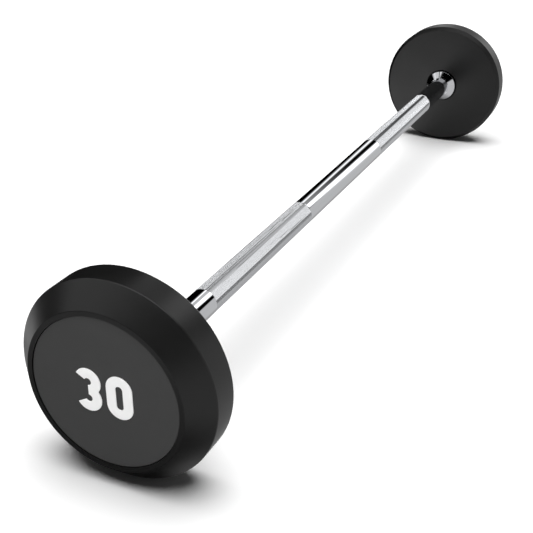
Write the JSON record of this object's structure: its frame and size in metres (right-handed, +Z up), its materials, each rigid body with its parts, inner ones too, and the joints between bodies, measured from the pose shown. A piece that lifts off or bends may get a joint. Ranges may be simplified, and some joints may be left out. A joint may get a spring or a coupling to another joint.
{
  "type": "fixed barbell",
  "caption": "Fixed barbell: straight chrome bar with knurled grips and bevelled collars between round rubber-covered heads with bevelled outer edges and flat end caps.",
  "frame": {"origin": "on the floor plane, under the middle of the bar, with both heads standing on that plane", "axes": "+X along the bar from the left head to the right head, +Z up, +Y to the rear; the numerals on both end caps read upright"},
  "size_m": [1.025, 0.186, 0.186],
  "materials": {
    "bar_chrome": "polished chrome plate, with fine diamond knurling on both grips",
    "collar_chrome": "polished, turned",
    "core_iron": "rough, as cast",
    "jacket_rubber": "smooth moulded rubber with a low sheen, matt on the inner face",
    "fixing_steel": "zinc plated",
    "cap_rubber": "matt, fine grain",
    "numeral_white": "matt white"
  },
  "bodies": {
    "root": {"shaft": "bar_chrome", "left_collar": "collar_chrome", "left_core": "core_iron", "left_jacket": "jacket_rubber", "left_key": "fixing_steel", "left_clamp_washer": "fixing_steel", "left_lock_washer": "fixing_steel", "left_end_bolt": "fixing_steel", "left_end_cap": "cap_rubber", "left_numeral_3": "numeral_white", "left_numeral_0": "numeral_white", "right_collar": "collar_chrome", "right_core": "core_iron", "right_jacket": "jacket_rubber", "right_key": "fixing_steel", "right_clamp_washer": "fixing_steel", "right_lock_washer": "fixing_steel", "right_end_bolt": "fixing_steel", "right_end_cap": "cap_rubber", "right_numeral_3": "numeral_white", "right_numeral_0": "numeral_white"}
  },
  "joints": []
}
